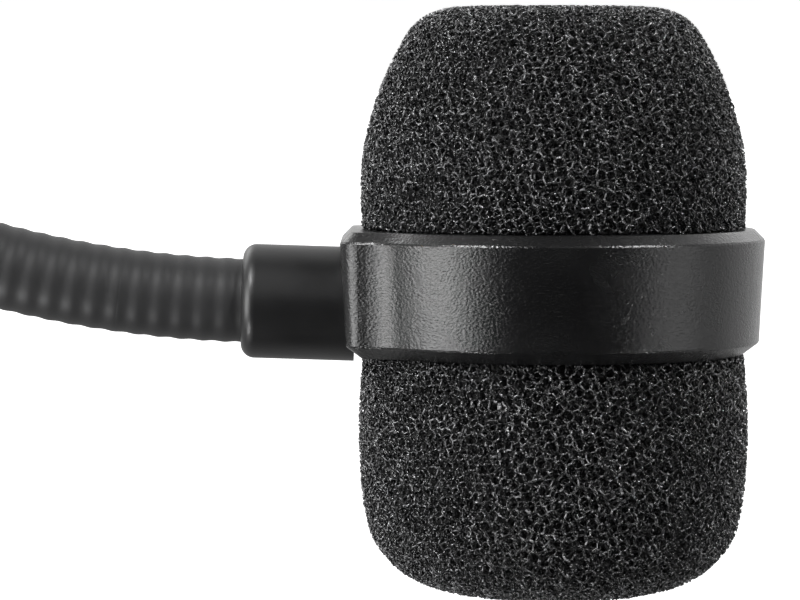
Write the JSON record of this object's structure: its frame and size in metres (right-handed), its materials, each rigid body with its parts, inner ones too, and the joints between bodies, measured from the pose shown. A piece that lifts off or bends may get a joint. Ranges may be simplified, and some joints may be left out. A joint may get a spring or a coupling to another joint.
{
  "type": "gooseneck boom microphone",
  "caption": "Boom microphone: foam windscreens on both sides of a textured ring, a satin sleeve, a bendable ribbed neck and a jack plug.",
  "frame": {"origin": "centre of the housing's seating face, where the jack leaves it", "axes": "+Z points out along the jack; the neck hangs to -Z and curls towards +X, where the head is; the ring is square to Z; Y is across the neck"},
  "size_m": [0.088, 0.022, 0.1081],
  "materials": {
    "foam": "open-cell reticulated foam, matt with a faint sheen on its struts",
    "ring_plastic": "satin with a fine leather grain",
    "collar_satin": "satin, fine grain",
    "neck_sheath": "soft-touch, softly ribbed",
    "neck_coil": "plain wound wire",
    "cable_jacket": "matt",
    "wire_jacket": "thin insulation",
    "housing_plastic": "satin with a fine grain",
    "screw_steel": "black-oxide steel",
    "brass_part": "machined",
    "gold_contact": "gold-plated",
    "insulator_black": "moulded",
    "gasket_rubber": "matt",
    "board_green": "solder-masked board",
    "cradle_plastic": "moulded, matt",
    "boot_rubber": "matt",
    "can_aluminium": "drawn",
    "mesh_steel": "black-coated perforated sheet",
    "felt_black": "pressed felt",
    "film_metal": "metallised film"
  },
  "bodies": {
    "plug_base": {"jack_tip": "gold_contact", "jack_ring": "gold_contact", "jack_sleeve": "gold_contact", "jack_insulators": "insulator_black", "seating_gasket": "gasket_rubber", "housing_screw_half": "housing_plastic", "housing_nut_half": "housing_plastic", "housing_screws": "screw_steel", "plug_pcb": "board_green", "lead_wires": "wire_jacket", "base_collar": "collar_satin", "base_ferrule": "brass_part", "base_clip": "screw_steel", "base_sheath": "neck_sheath", "base_coil": "neck_coil", "base_cable": "cable_jacket"},
    "neck_link_1": {"neck_sheath_1": "neck_sheath", "neck_coil_1": "neck_coil", "neck_cable_1": "cable_jacket"},
    "neck_link_2": {"neck_sheath_2": "neck_sheath", "neck_coil_2": "neck_coil", "neck_cable_2": "cable_jacket"},
    "neck_link_3": {"neck_sheath_3": "neck_sheath", "neck_coil_3": "neck_coil", "neck_cable_3": "cable_jacket"},
    "neck_link_4": {"neck_sheath_4": "neck_sheath", "neck_coil_4": "neck_coil", "neck_cable_4": "cable_jacket"},
    "neck_link_5": {"neck_sheath_5": "neck_sheath", "neck_coil_5": "neck_coil", "neck_cable_5": "cable_jacket"},
    "neck_link_6": {"neck_sheath_6": "neck_sheath", "neck_coil_6": "neck_coil", "neck_cable_6": "cable_jacket"},
    "head": {"ring_holder": "ring_plastic", "capsule_cradle": "cradle_plastic", "housing_front_shell": "cradle_plastic", "housing_rear_shell": "cradle_plastic", "front_mesh": "mesh_steel", "rear_mesh": "mesh_steel", "shell_screws": "screw_steel", "isolation_boot": "boot_rubber", "capsule_can": "can_aluminium", "capsule_felt": "felt_black", "capsule_diaphragm": "film_metal", "capsule_insulator": "insulator_black", "capsule_backplate": "brass_part", "capsule_pcb": "board_green", "signal_wires": "wire_jacket", "neck_collar": "collar_satin", "head_ferrule": "brass_part", "head_clip": "screw_steel", "head_sheath": "neck_sheath", "head_coil": "neck_coil", "head_cable": "cable_jacket"},
    "front_foam": {"front_windscreen": "foam"},
    "rear_foam": {"rear_windscreen": "foam"}
  },
  "joints": [
    {"name": "neck_bend", "type": "hinge", "parent": "plug_base", "child": "neck_link_1", "pos_m": [0, 0, -0.02751], "axis": [0, 1, 0], "range_deg": [-9, 18]},
    {"name": "neck_swing", "type": "hinge", "parent": "neck_link_1", "child": "neck_link_2", "pos_m": [0.00278, 0, -0.03994], "axis": [0.9461, 0, 0.3239], "range_deg": [-13, 13]},
    {"name": "neck_bend_2", "type": "hinge", "parent": "neck_link_2", "child": "neck_link_3", "pos_m": [0.0082, 0, -0.05145], "axis": [0, 1, 0], "range_deg": [-9, 18]},
    {"name": "neck_swing_2", "type": "hinge", "parent": "neck_link_3", "child": "neck_link_4", "pos_m": [0.016, 0, -0.06151], "axis": [0.7181, 0, 0.6959], "range_deg": [-13, 13]},
    {"name": "neck_bend_3", "type": "hinge", "parent": "neck_link_4", "child": "neck_link_5", "pos_m": [0.02581, 0, -0.06963], "axis": [0, 1, 0], "range_deg": [-9, 18]},
    {"name": "neck_swing_3", "type": "hinge", "parent": "neck_link_5", "child": "neck_link_6", "pos_m": [0.03715, 0, -0.07541], "axis": [0.3535, 0, 0.9354], "range_deg": [-13, 13]},
    {"name": "neck_bend_4", "type": "hinge", "parent": "neck_link_6", "child": "head", "pos_m": [0.04948, 0, -0.07857], "axis": [0, 1, 0], "range_deg": [-9, 18]},
    {"name": "front_foam_slide", "type": "slide", "parent": "head", "child": "front_foam", "axis": [0, 0, 1], "range_m": [0, 0.014]},
    {"name": "rear_foam_slide", "type": "slide", "parent": "head", "child": "rear_foam", "axis": [0, 0, -1], "range_m": [0, 0.014]}
  ],
  "couplings": [
    {"joint": "neck_bend_2", "follows": "neck_bend", "ratio": 1},
    {"joint": "neck_swing_2", "follows": "neck_swing", "ratio": 1},
    {"joint": "neck_bend_3", "follows": "neck_bend", "ratio": 1},
    {"joint": "neck_swing_3", "follows": "neck_swing", "ratio": 1},
    {"joint": "neck_bend_4", "follows": "neck_bend", "ratio": 1}
  ]
}
